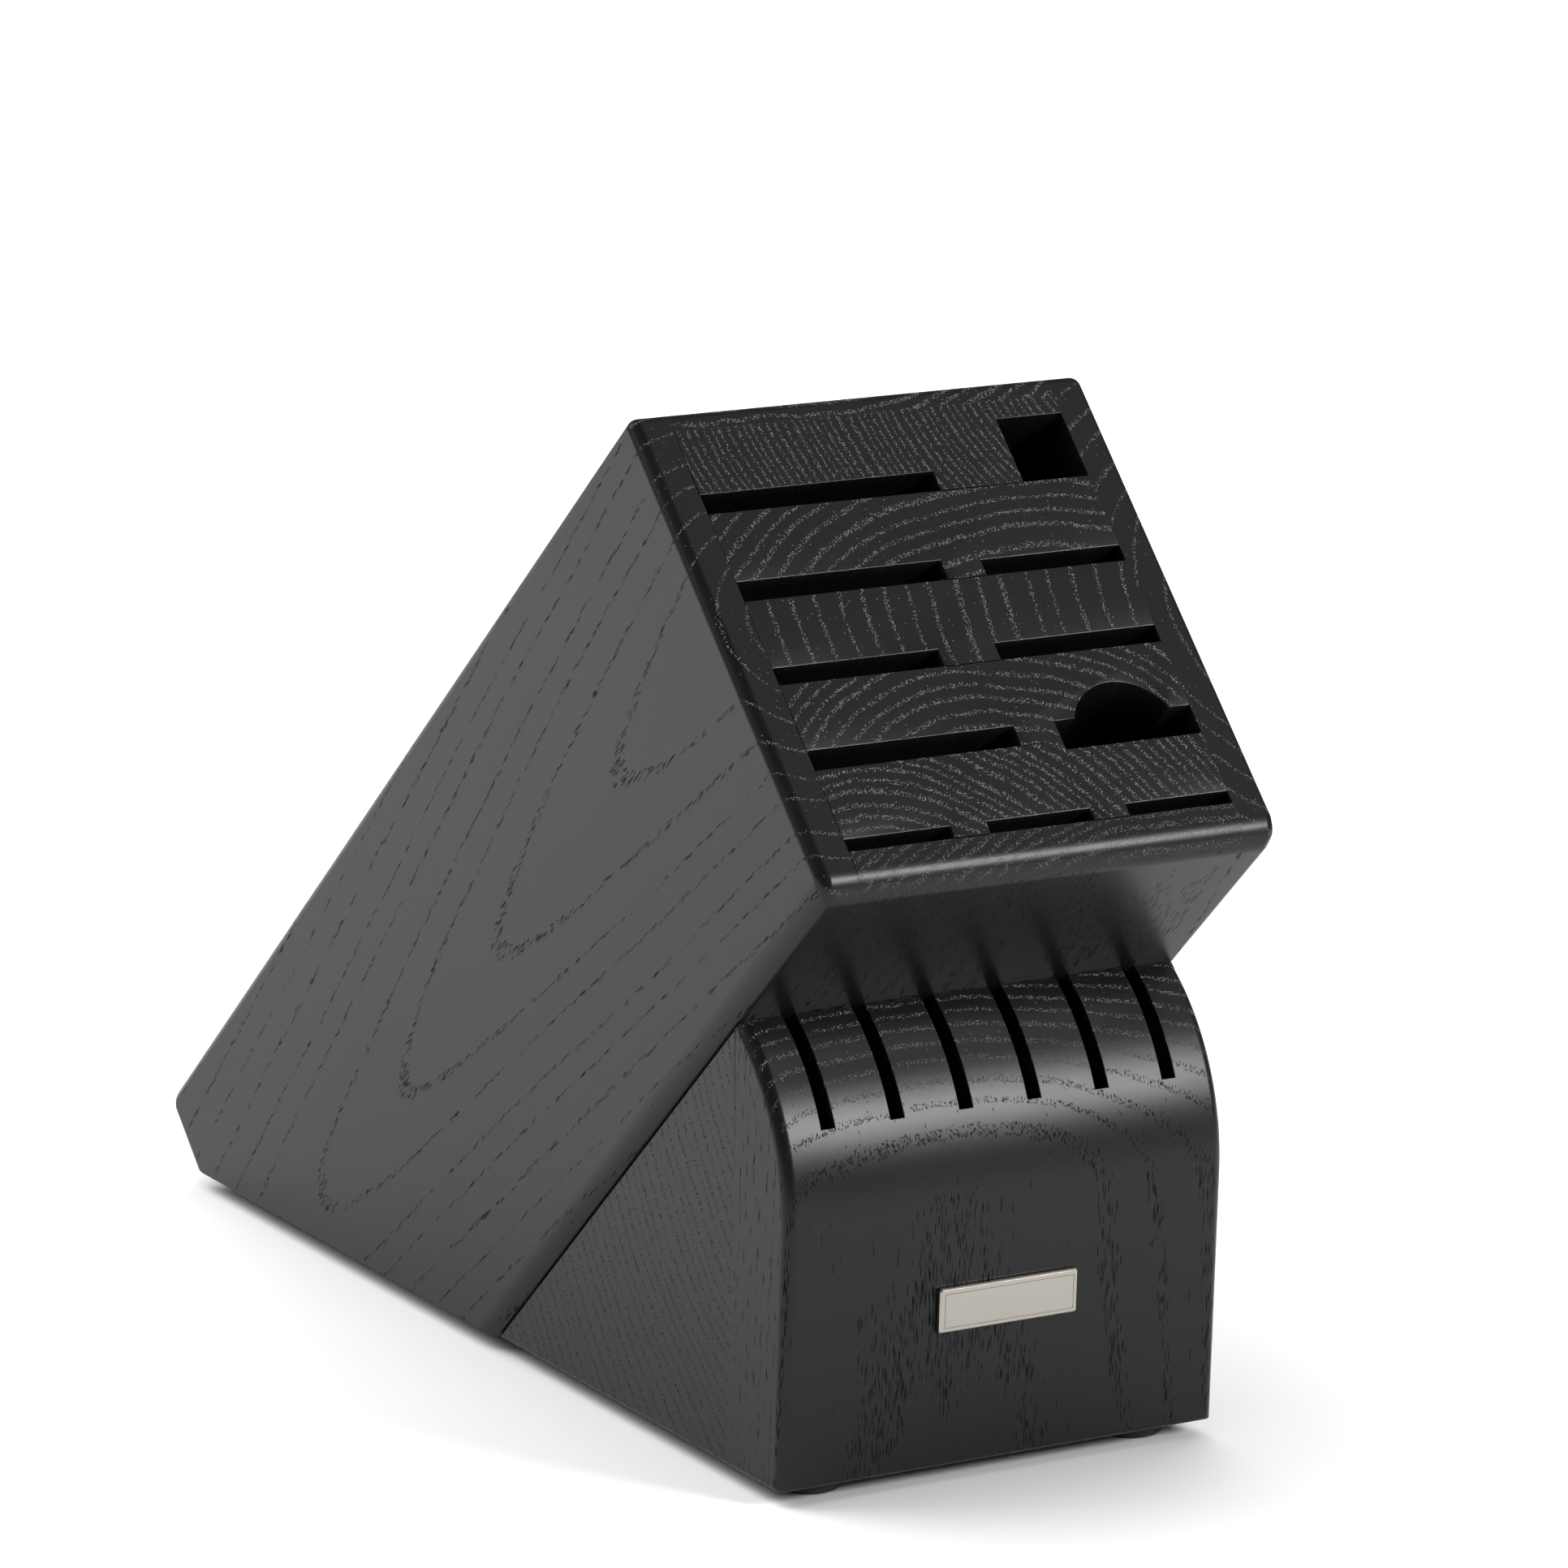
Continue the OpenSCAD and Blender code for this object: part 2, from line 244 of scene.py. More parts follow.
def under_path(row, seam):
    """Lower outline of a core board, from right to left, with its slots milled in."""
    path = []
    for x0, x1, t0, _ in sorted(SLOT_ROWS[row], reverse=True):
        if x1 < CORE_X:
            path += [(x1, seam)]
        path += [(x1, t0)]
        if row == 3 and x1 == CORE_X:
            path += dome_arc(t0)
        path += [(x0, t0)]
        if x0 > -CORE_X:
            path += [(x0, seam)]
    if path[0][0] < CORE_X:
        path.insert(0, (CORE_X, seam))
    if path[-1][0] > -CORE_X:
        path.append((-CORE_X, seam))
    return path


def dome_arc(t0, steps=40):
    """The shears hollow's arc over the slot's roof at t0, from right to left."""
    half = math.acos((DOME_T - t0) / DOME_R)
    angles = [half - 2 * half * i / steps for i in range(steps + 1)]
    return [(DOME_X + DOME_R * math.sin(a), DOME_T - DOME_R * math.cos(a)) for a in angles]


def over_path(row, seam):
    """Upper outline of a board, from left to right, with corners where the slots above it end."""
    path = []
    for x0, x1, _, t1 in sorted(SLOT_ROWS[row]):
        if x0 > -CORE_X:
            path += [(x0, seam)]
        if t1 > seam + 1e-6:
            path += [(x0, t1), (x1, t1)]
        if x1 < CORE_X:
            path += [(x1, seam)]
    if not near(path[0][0], -CORE_X):
        path.insert(0, (-CORE_X, seam))
    if not near(path[-1][0], CORE_X):
        path.append((CORE_X, seam))
    return path


def stack_board(name, outline, rounds, replaced):
    """Board of the main block, from its outline (x, t) on the slot face.

    rounds lists (t, w, size): the edge along x that passes there loses size on each side.
    """
    bm = new_bmesh()
    loop = []
    for x, t in outline:
        if not loop or (Vector((x, t, 0)) - loop[-1].co).length > 1e-6:
            loop.append(bm.verts.new((x, t, 0)))
    face = bm.faces.new(loop)
    top = bmesh.ops.extrude_face_region(bm, geom=[face])["geom"]
    moved = [g for g in top if isinstance(g, bmesh.types.BMVert)]
    bmesh.ops.translate(bm, verts=moved, vec=(0, 0, BACK_L))
    everything = bm.verts[:] + bm.edges[:] + bm.faces[:]
    cut = bmesh.ops.bisect_plane(
        bm, geom=everything, plane_co=(0, BASE_SUM, 0), plane_no=(0, 1, 1), clear_outer=True
    )["geom_cut"]
    rim = [g for g in cut if isinstance(g, bmesh.types.BMEdge)]
    bmesh.ops.contextual_create(bm, geom=rim)
    soften_mouths(bm)
    sizes = {}
    for edge in bm.edges:
        a, b = edge.verts[0].co, edge.verts[1].co
        for t, w, size in rounds:
            if near(a.y, t) and near(b.y, t) and near(a.z, w) and near(b.z, w):
                sizes[edge] = size
    width = round_edges(bm, sizes) if sizes else 0
    obj = finish_mesh(name, bm, STACK)
    if width:
        bevelled(obj, width)
    return hand_over(obj, "stained_ash", *replaced)


def soften_mouths(bm):
    """Softens every edge of the slot face that borders an opening."""
    reach = 0.15 * MM
    mouths = []
    for edge in bm.edges:
        if not all(near(v.co.z, 0) for v in edge.verts):
            continue
        middle = (edge.verts[0].co + edge.verts[1].co) / 2
        around = [(reach, 0), (-reach, 0), (0, reach), (0, -reach)]
        if any(in_slot(middle.x + dx, middle.y + dt) for dx, dt in around):
            mouths.append(edge)
    if mouths:
        soften(bm, mouths)


def heel_size():
    """Distance that the heel's rounding takes off where the end face meets the base at 135 degrees."""
    return HEEL_R * math.tan(math.radians(22.5))


END_T = BASE_SUM - BACK_L
CORE_NODES = [
    ["core_board_1_top", "core_board_1", "row_1_rib"],
    ["core_board_2", "row_2_rib"],
    ["core_board_3", "row_3_rib"],
    ["core_board_4_top", "core_board_4", "shears_arch", "row_4_rib"],
    ["core_board_5_top", "core_board_5", "row_5_ribs"],
]


def make_core_boards():
    """The five boards between the back and front panels, with the slots milled into them."""
    boards = []
    for row, nodes in enumerate(CORE_NODES):
        upper, lower = SEAMS[row], SEAMS[row + 1]
        top = over_path(row - 1, upper) if row else [(-CORE_X, upper), (CORE_X, upper)]
        outline = top + under_path(row, lower)
        rounds = [(END_T, BACK_L, heel_size())] if row == 0 else []
        boards.append(stack_board(f"core_board_{row + 1}_milled", outline, rounds, nodes))
    return boards


def make_back_panel():
    """Thin board along the back, rounded at the top and at the heel."""
    outline = [(-CORE_X, 0), (CORE_X, 0), (CORE_X, SEAMS[0]), (-CORE_X, SEAMS[0])]
    rounds = [(0, 0, EDGE_R), (0, BACK_L, HEEL_R)]
    return stack_board("back_panel_board", outline, rounds, ["back_panel"])


def make_front_panel():
    """Thin board along the underside, with the rounded nose."""
    outline = over_path(4, SEAMS[5]) + [(CORE_X, STACK_T), (-CORE_X, STACK_T)]
    return stack_board("front_panel_board", outline, [(STACK_T, 0, NOSE_R)], ["front_panel"])


def make_side_panel(side):
    """Side panel with all its outer edges rounded; side is -1 for left and 1 for right."""
    edge_slots = [s for s in ALL_SLOTS if near(s[0] if side < 0 else s[1], side * CORE_X)]
    marks = sorted({t for s in edge_slots for t in s[2:]})
    outline = [(0, 0)] + [(t, 0) for t in marks]
    outline += [(STACK_T, 0), (STACK_T, BASE_SUM - STACK_T), (END_T, BACK_L), (0, BACK_L)]
    inner, outer = side * CORE_X, side * HALF_W
    bm = new_bmesh()
    rings = [[bm.verts.new((x, t, w)) for t, w in outline] for x in (inner, outer)]
    bridge(bm, rings)
    bmesh.ops.recalc_face_normals(bm, faces=bm.faces)
    soften_mouths(bm)
    corner = {(0, 0): EDGE_R, (STACK_T, 0): NOSE_R, (0, BACK_L): HEEL_R, (END_T, BACK_L): heel_size()}
    sizes = {}
    for edge in bm.edges:
        a, b = edge.verts[0].co, edge.verts[1].co
        if near(a.x, outer) and near(b.x, outer):
            on_base = near(a.y + a.z, BASE_SUM) and near(b.y + b.z, BASE_SUM)
            under = near(a.y, STACK_T) and near(b.y, STACK_T)
            sizes[edge] = BASE_R if on_base else UNDER_R if under else EDGE_R
        for (t, w), size in corner.items():
            if near(a.y, t) and near(b.y, t) and near(a.z, w) and near(b.z, w):
                sizes[edge] = size
    width = round_edges(bm, sizes)
    name = "left_side_panel" if side < 0 else "right_side_panel"
    obj = bevelled(finish_mesh(name + "_board", bm, STACK), width)
    return hand_over(obj, "stained_ash", name)


# ---------------------------------------------------------------- front block

FRONT_LOW, FRONT_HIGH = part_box("front_board")
FRONT_X = FRONT_HIGH.x
FRONT_Y = FRONT_LOW.y
BOARD_Y = FRONT_HIGH.y
JOINT_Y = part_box("wedge_board_ribs")[1].y
CURVE_R = 57.3 * MM
CURVE_Z = FOOT_H + 62.7 * MM
KERF_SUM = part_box("wedge_board")[1].y + FOOT_H
JOINT_SUM = JOINT_Y + FOOT_H
RIB_SIDES = sorted({round(p.x, 6) for p in cad_points("front_board_ribs")})
KERF_WALLS = [x for x in RIB_SIDES if abs(x) < FRONT_X - EDGE_R - BASE_R]
CURVE_STEPS = 30


def curve_point(angle):
    """Point of the front curve; angle 0 is its foot on the upright face."""
    y = FRONT_Y + CURVE_R - CURVE_R * math.cos(angle)
    return (y, CURVE_Z + CURVE_R * math.sin(angle))


def curve_angle(test):
    """Angle at which test(y, z) turns from negative to positive along the curve."""
    low, high = 0.0, math.pi / 2
    for _ in range(50):
        middle = (low + high) / 2
        if test(*curve_point(middle)) < 0:
            low = middle
        else:
            high = middle
    return low


def curve_run(a0, a1, steps):
    """Points along the front curve from one angle to another."""
    return [curve_point(a0 + (a1 - a0) * i / steps) for i in range(steps + 1)]


def stepped_board(name, lower, full, wall, mouth_test, replaced):
    """Board of the front block: lower is its outline at a kerf, full at a rib, in (y, z).

    wall is the outline of a rib's side above the kerf's floor.
    """
    xs = [-FRONT_X, *KERF_WALLS, FRONT_X]
    bm = new_bmesh()
    verts = {}

    def vert(x, point):
        key = (round(x, 7), round(point[0], 7), round(point[1], 7))
        if key not in verts:
            verts[key] = bm.verts.new((x, point[0], point[1]))
        return verts[key]

    for i in range(len(xs) - 1):
        loop = full if i % 2 == 0 else lower
        for a, b in zip(loop, loop[1:] + loop[:1]):
            bm.faces.new((vert(xs[i], a), vert(xs[i], b), vert(xs[i + 1], b), vert(xs[i + 1], a)))
    for x in xs[1:-1]:
        bm.faces.new([vert(x, p) for p in wall])
    for x in (xs[0], xs[-1]):
        bm.faces.new([vert(x, p) for p in full])
    bmesh.ops.recalc_face_normals(bm, faces=bm.faces)
    soften(bm, [e for e in bm.edges if mouth_test(e, xs)])
    sizes = {}
    for edge in bm.edges:
        a, b = edge.verts[0].co, edge.verts[1].co
        at_side = near(abs(a.x), FRONT_X) and near(a.x, b.x)
        at_base = near(a.z, FOOT_H) and near(b.z, FOOT_H)
        at_joint = near(a.y + a.z, JOINT_SUM) and near(b.y + b.z, JOINT_SUM)
        at_front = on_front(a) and on_front(b)
        if at_side and at_front:
            sizes[edge] = EDGE_R
        elif at_side and (at_joint or at_base):
            sizes[edge] = BASE_R
        elif at_base and at_front:
            sizes[edge] = SILL_R
    width = round_edges(bm, sizes)
    obj = bevelled(finish_mesh(name, bm), width)
    return hand_over(obj, "stained_ash", *replaced)


def on_front(p):
    """On the upright face or the curve of the front block."""
    on_curve = abs(math.hypot(p.y - FRONT_Y - CURVE_R, p.z - CURVE_Z) - CURVE_R) < 2e-6
    return (near(p.y, FRONT_Y) and p.z < CURVE_Z + 1e-6) or (on_curve and p.z >= CURVE_Z - 1e-6)


def make_front_block():
    """Front board and wedge, with the six kerfs sawn through both."""
    kerf_a = curve_angle(lambda y, z: y + z - KERF_SUM)
    board_a = curve_angle(lambda y, z: y - BOARD_Y)
    joint_a = curve_angle(lambda y, z: y + z - JOINT_SUM)
    low_curve = curve_run(0, kerf_a, CURVE_STEPS // 2)
    high_curve = curve_run(kerf_a, board_a, CURVE_STEPS // 2)
    kerf_seam = (BOARD_Y, KERF_SUM - BOARD_Y)

    lower = [(FRONT_Y, FOOT_H), *low_curve, kerf_seam, (BOARD_Y, FOOT_H)]
    full = [(FRONT_Y, FOOT_H), *low_curve, *high_curve[1:], kerf_seam, (BOARD_Y, FOOT_H)]
    wall = [*high_curve, kerf_seam]

    def at_kerf(edge, xs):
        a, b = edge.verts[0].co, edge.verts[1].co
        inner = any(near(a.x, x) for x in xs[1:-1]) and any(near(b.x, x) for x in xs[1:-1])
        above = a.y + a.z > KERF_SUM - 1e-6 and b.y + b.z > KERF_SUM - 1e-6
        on_mouth = on_front(a) and on_front(b)
        along_wall = near(a.x, b.x)
        over_kerf = any(near((a.x + b.x) / 2, (p + q) / 2) for p, q in zip(xs[1:-1:2], xs[2:-1:2]))
        return inner and above and on_mouth and (along_wall or over_kerf)

    board = stepped_board(
        "front_board_milled", lower, full, wall, at_kerf, ["front_board", "front_board_ribs"]
    )

    top_run = curve_run(board_a, joint_a, 3)
    kerf_foot = (KERF_SUM - FOOT_H, FOOT_H)
    joint_foot = (JOINT_Y, FOOT_H)
    w_lower = [(BOARD_Y, FOOT_H), kerf_seam, kerf_foot]
    w_full = [(BOARD_Y, FOOT_H), kerf_seam, *top_run, joint_foot, kerf_foot]
    w_wall = [kerf_seam, *top_run, joint_foot, kerf_foot]
    wedge = stepped_board(
        "wedge_board_milled", w_lower, w_full, w_wall, at_kerf, ["wedge_board", "wedge_board_ribs"]
    )
    return board, wedge


# ---------------------------------------------------------------- small parts


def lathe(bm, profile, place, steps=64):
    """Turned solid from (radius, height) points that start and end on the axis."""
    rings = []
    for r, z in profile:
        if r < 1e-9:
            rings.append([bm.verts.new(Vector(place) + Vector((0, 0, z)))])
            continue
        ring = []
        for i in range(steps):
            a = 2 * math.pi * i / steps
            ring.append(bm.verts.new(Vector(place) + Vector((r * math.cos(a), r * math.sin(a), z))))
        rings.append(ring)
    for low, high in zip(rings, rings[1:]):
        for i in range(steps):
            j = (i + 1) % steps
            corners = [low[i % len(low)], low[j % len(low)], high[j % len(high)], high[i % len(high)]]
            bm.faces.new(list(dict.fromkeys(corners)))


def arc(centre, r, a0, a1, steps=6):
    """Points of a quarter or so of a circle in (radius, height)."""
    angles = [math.radians(a0 + (a1 - a0) * i / steps) for i in range(steps + 1)]
    return [(centre[0] + r * math.cos(a), centre[1] + r * math.sin(a)) for a in angles]


FEET = ["front_left_foot", "front_right_foot", "rear_left_foot", "rear_right_foot"]


def make_foot(node):
    """Turned rubber foot with a recess for the screw's head and a countersunk bore."""
    low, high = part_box(node)
    middle = (low + high) / 2
    r, top = (high.x - low.x) / 2, high.z
    edge, rim, recess, sink = 0.8 * MM, 0.4 * MM, 3.6 * MM, 1 * MM
    bore, cone = 1.5 * MM, 1.8 * MM
    profile = [
        *reversed(arc((recess + 0.25 * MM, 0.25 * MM), 0.25 * MM, 180, 270, 4)),
        (recess, sink), (3 * MM, sink), (bore, sink + cone), (bore, top),
        *reversed(arc((r - rim, top - rim), rim, 0, 90, 4)),
        *reversed(arc((r - edge, edge), edge, -90, 0, 8)),
    ]
    profile.append(profile[0])
    bm = new_bmesh()
    lathe(bm, profile, (middle.x, middle.y, 0), 96)
    bmesh.ops.remove_doubles(bm, verts=bm.verts, dist=1e-7)
    obj = finish_mesh(node + "_turned", bm)
    return hand_over(obj, "foot_rubber", node)


def draw_in_recess(bm, middle):
    """Leaves only four arms of the round recess in a screw's head."""
    for vert in bm.verts:
        reach = vert.co.xy - middle.xy
        between = abs(math.atan2(reach.y, reach.x) % (math.pi / 2) - math.pi / 4) < math.radians(31)
        if 0.8 * MM < reach.length < 1.3 * MM and vert.co.z < 2 * MM and between:
            vert.co.x = middle.x + 0.42 * reach.x
            vert.co.y = middle.y + 0.42 * reach.y


def make_screws():
    """Countersunk wood screws with a cross recess and a ridged shank."""
    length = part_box("foot_screws")[1].z
    start, pitch, tip = 5.2 * MM, 1.2 * MM, 2.2 * MM
    core, crest = 1.15 * MM, 1.48 * MM
    turns = int((length - tip - start) / pitch)
    bm = new_bmesh()
    for node in FEET:
        low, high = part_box(node)
        middle = (low + high) / 2
        # Recess, head, cone and then the ridges of the thread up to the point
        profile = [
            (0, 2.0 * MM), (0.9 * MM, 1.9 * MM), (1.25 * MM, 1.02 * MM), (2.85 * MM, 1.02 * MM),
            (2.98 * MM, 1.1 * MM), (1.5 * MM, 2.8 * MM),
        ]
        for i in range(turns):
            z = start + i * pitch
            profile += [(core, z), (core, z + 0.5 * pitch)]
            profile += [(crest, z + 0.78 * pitch), (crest, z + 0.86 * pitch)]
        profile += [(core, start + turns * pitch), (0, length)]
        lathe(bm, profile, (middle.x, middle.y, 0), 48)
        draw_in_recess(bm, middle)
    obj = finish_mesh("foot_screws_turned", bm, smooth_angle=40)
    return hand_over(obj, "screw_steel", "foot_screws")


def make_plate():
    """Blank plate with bevelled edges and a thin engraved border."""
    low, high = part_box("name_plate")
    half_l, half_h = (high.x - low.x) / 2, (high.z - low.z) / 2
    centre = Vector((0, high.y, (low.z + high.z) / 2))
    depth = high.y - low.y
    face = depth / MM
    groove = face - 0.14
    # Each ring: how far it lies in from the edge, its corner radius and its height off the pad
    rings = [
        (0, 0.6, 0), (0, 0.6, face - 0.4), (0.12, 0.55, face - 0.2), (0.4, 0.4, face),
        (1.15, 0.4, face), (1.22, 0.4, groove), (1.42, 0.4, groove), (1.49, 0.4, face),
    ]
    bm = new_bmesh()
    loops = []
    for inset, corner, out in rings:
        loop = []
        hl, hh = half_l - inset * MM, half_h - inset * MM
        for sx, sz, a0 in ((1, 1, 0), (-1, 1, 90), (-1, -1, 180), (1, -1, 270)):
            for i in range(5):
                a = math.radians(a0 + 90 * i / 4)
                x = sx * (hl - corner * MM) + corner * MM * math.cos(a)
                z = sz * (hh - corner * MM) + corner * MM * math.sin(a)
                loop.append(bm.verts.new(centre + Vector((x, -out * MM, z))))
        loops.append(loop)
    bridge(bm, loops)
    obj = finish_mesh("name_plate_blank", bm, smooth_angle=25)
    return hand_over(obj, "plate_metal", "name_plate")


def make_pad():
    """Foam under the plate, with slightly squashed, rounded sides."""
    low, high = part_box("name_plate_pad")
    bm = new_bmesh()
    corners = [(low.x, low.z), (high.x, low.z), (high.x, high.z), (low.x, high.z)]
    middle = (low + high) / 2
    waist, lip = 0.12 * MM, 0.08 * MM
    rings = []
    for inset, y in ((0, high.y), (waist, high.y - lip), (waist, low.y + lip), (0, low.y)):
        ring = []
        for x, z in corners:
            x -= math.copysign(inset, x - middle.x)
            z -= math.copysign(inset, z - middle.z)
            ring.append(bm.verts.new((x, y, z)))
        rings.append(ring)
    bridge(bm, rings)
    obj = finish_mesh("name_plate_foam", bm)
    return hand_over(obj, "plate_foam", "name_plate_pad")


def make_dowels():
    """Fluted beech dowels with chamfered ends, lying along the stack's t axis."""
    points = [TO_STACK @ p for p in cad_points("joining_dowels")]
    t0, t1 = span("joining_dowels", 1)
    half_way = sum(span("joining_dowels", 2)) / 2
    radius, chamfer, flute, flutes, per = 4 * MM, 0.7 * MM, 0.22 * MM, 16, 4
    bm = new_bmesh()
    for side in (-1, 1):
        for end in (-1, 1):
            group = [p for p in points if p.x * side > 0 and (p.z - half_way) * end > 0]
            cx = (min(p.x for p in group) + max(p.x for p in group)) / 2
            cw = (min(p.z for p in group) + max(p.z for p in group)) / 2
            rings = []
            for t, cut in ((t0, chamfer), (t0 + chamfer, 0), (t1 - chamfer, 0), (t1, chamfer)):
                ring = []
                for i in range(flutes * per):
                    a = 2 * math.pi * i / (flutes * per)
                    r = radius - cut - (flute if i % per in (1, 2) else 0)
                    ring.append(bm.verts.new((cx + r * math.cos(a), t, cw + r * math.sin(a))))
                rings.append(ring)
            bridge(bm, rings)
    obj = finish_mesh("joining_dowels_fluted", bm, STACK, smooth_angle=25)
    return hand_over(obj, "dowel_wood", "joining_dowels")


# ---------------------------------------------------------------- materials


class Graph:
    """Shader nodes of one material, built with short calls. Inputs are sockets or constants."""

    def __init__(self, name):
        self.material = bpy.data.materials.new(name)
        self.material.use_nodes = True
        self.tree = self.material.node_tree
        self.shader = self.tree.nodes["Principled BSDF"]

    def put(self, socket, value):
        if isinstance(value, bpy.types.NodeSocket):
            self.tree.links.new(value, socket)
        else:
            socket.default_value = value

    def add(self, kind, inputs, **settings):
        node = self.tree.nodes.new("ShaderNode" + kind)
        for key, value in settings.items():
            setattr(node, key, value)
        for key, value in inputs.items():
            self.put(node.inputs[key], value)
        return node

    def math(self, operation, a, b=0.0, c=0.0):
        return self.add("Math", {0: a, 1: b, 2: c}, operation=operation).outputs[0]

    def vector(self, operation, a, b=(0, 0, 0), c=(0, 0, 0), output=0):
        return self.add("VectorMath", {0: a, 1: b, 2: c}, operation=operation).outputs[output]

    def ramp(self, value, low, high, out_low=0.0, out_high=1.0):
        """Smooth step from out_low at low to out_high at high."""
        inputs = {"Value": value, "From Min": low, "From Max": high, "To Min": out_low, "To Max": out_high}
        return self.add("MapRange", inputs, interpolation_type="SMOOTHSTEP").outputs["Result"]

    def grey(self, tone, green=1.0, blue=1.0):
        """Colour with the tone as its red, and green and blue as shares of it."""
        shares = {0: tone, 1: self.math("MULTIPLY", tone, green), 2: self.math("MULTIPLY", tone, blue)}
        return self.add("CombineColor", shares).outputs[0]

    def bump(self, height):
        """Normal for a height in millimetres."""
        return self.add("Bump", {"Strength": 1.0, "Distance": MM, "Height": height}).outputs[0]

    def noise(self, vector, scale, detail=2.0, roughness=0.5):
        inputs = {"Vector": vector, "Scale": scale, "Detail": detail, "Roughness": roughness}
        return self.add("TexNoise", inputs).outputs[0]

    def surface(self, **inputs):
        for key, value in inputs.items():
            self.put(self.shader.inputs[key.replace("_", " ")], value)
        return self.material


# Reflectance of the stained wood between the pores, and a vessel's length in millimetres
ASH_DARK = 0.0045
PORE_LENGTH = 4.2


def ash_material(
    name, turn, shift, pith, spacing, taper=0.02, wave=1.6, open_band=1.3, pore_size=0.4, density=0.86,
    pore_glint=0.19, seed=0.0,
):
    """Black stained ash cut from a log: the rings, pores and fibres fill the board as a solid.

    turn and shift bring the row frame, in millimetres, into the board's own frame, whose third axis
    is the grain. pith is the log's centre across the grain, spacing the mean ring width, taper the
    rings' growth along the grain, wave their waviness and open_band the width of the porous early
    wood. pore_size is the mean gap between vessels there, density the share of the gaps that hold
    one and pore_glint how pale the vessels' ends are painted where end grain shows, a painted
    highlight for the light that the open pores catch.
    """
    g = Graph(name)
    coords = g.add("TexCoord", {})
    scale = (1 / MM, 1 / MM, 1 / MM)
    turned = {"Vector": coords.outputs["Object"], "Location": shift, "Rotation": turn, "Scale": scale}
    spot = g.add("Mapping", turned).outputs[0]
    along = g.add("SeparateXYZ", {0: spot}).outputs[2]

    # Slow wander of the rings, stretched along the grain
    slow = g.vector("MULTIPLY_ADD", spot, (0.022, 0.022, 0.006), (seed, seed * 0.7, -seed))
    drift = g.math("MULTIPLY", g.math("SUBTRACT", g.noise(slow, 1.0, 2.0, 0.45), 0.5), 6.8 * wave)
    quick = g.vector("MULTIPLY", spot, (0.16, 0.16, 0.02))
    shiver = g.math("MULTIPLY", g.math("SUBTRACT", g.noise(quick, 1.0, 1.0), 0.5), 0.9 * wave)
    centre = g.add("CombineXYZ", {0: pith[0], 1: pith[1], 2: along}).outputs[0]
    radius = g.vector("LENGTH", g.vector("SUBTRACT", spot, centre), output=1)
    radius = g.math("ADD", g.math("MULTIPLY_ADD", along, taper, radius), g.math("ADD", drift, shiver))

    # Ring widths differ: the count runs faster and slower with the radius
    year = {"W": g.math("MULTIPLY_ADD", radius, 0.11, seed), "Scale": 1.0, "Detail": 1.0}
    uneven = g.add("TexNoise", year, noise_dimensions="1D").outputs[0]
    count = g.math("DIVIDE", g.math("MULTIPLY_ADD", uneven, 2.4, radius), spacing)
    in_ring = g.math("FRACT", count)
    early = g.ramp(in_ring, 0.0, 0.04 + 0.1 / spacing)
    late = g.ramp(in_ring, open_band * 0.7 / spacing, open_band * 1.25 / spacing, 1.0, 0.0)
    band = g.math("MULTIPLY", early, late)

    # Vessels: long thin cells, open in the early wood and rare in the late wood
    cells = g.vector("DIVIDE", spot, (pore_size, pore_size, PORE_LENGTH))
    vessel = g.add("TexVoronoi", {"Vector": cells, "Scale": 1.0, "Randomness": 1.0})
    chance = g.add("SeparateColor", {0: vessel.outputs["Color"]}).outputs[0]
    wanted = g.math("LESS_THAN", chance, g.math("MULTIPLY_ADD", band, density, 0.007))
    bore = g.ramp(vessel.outputs["Distance"], 0.28, 0.46, 1.0, 0.0)
    pore = g.math("MULTIPLY", bore, wanted)

    # Share of end grain on the surface
    facing = g.add("Mapping", {"Vector": coords.outputs["Normal"], "Rotation": turn}, vector_type="NORMAL")
    end = g.math("ABSOLUTE", g.add("SeparateXYZ", {0: facing.outputs[0]}).outputs[2])
    end = g.ramp(end, 0.25, 0.85)

    # Fibres, sanding marks and a painted highlight along the rounded edges
    fibre = g.noise(g.vector("MULTIPLY", spot, (2.6, 2.6, 0.12)), 1.0, 3.0, 0.6)
    sanding = g.noise(g.vector("MULTIPLY", spot, (0.06, 5.0, 5.0)), 1.0, 2.0, 0.6)
    cloud = g.noise(g.vector("MULTIPLY", spot, (0.03, 0.03, 0.012)), 1.0, 3.0, 0.55)
    bevel = g.add("Bevel", {"Radius": 0.0012}, samples=4).outputs[0]
    rim = g.vector("DOT_PRODUCT", bevel, coords.outputs["Normal"], output=1)
    # Painted highlight: the colour is lightened where the surface rounds over an edge, standing in for
    # edges catching the light
    edge_highlight = g.ramp(g.math("MULTIPLY_ADD", cloud, 0.06, rim), 0.93, 1.0, 1.0, 0.0)

    tone = g.math("MULTIPLY", g.math("MULTIPLY_ADD", fibre, 0.5, 0.75), ASH_DARK)
    tone = g.math("MULTIPLY", tone, g.math("MULTIPLY_ADD", cloud, 0.5, 0.75))
    tone = g.math("MULTIPLY_ADD", band, 0.001, tone)
    # Painted highlight lightens the colour on the rounded edges
    tone = g.math("MULTIPLY_ADD", edge_highlight, 0.003, tone)
    # Painted highlight: vessels that open on end grain are made paler, for the light their rims catch
    pore_glint_tone = g.math("MULTIPLY_ADD", end, pore_glint, 0.003)
    tone = g.add("Mix", {0: pore, 2: tone, 3: pore_glint_tone}).outputs[0]
    colour = g.grey(tone, 1.005, 1.04)

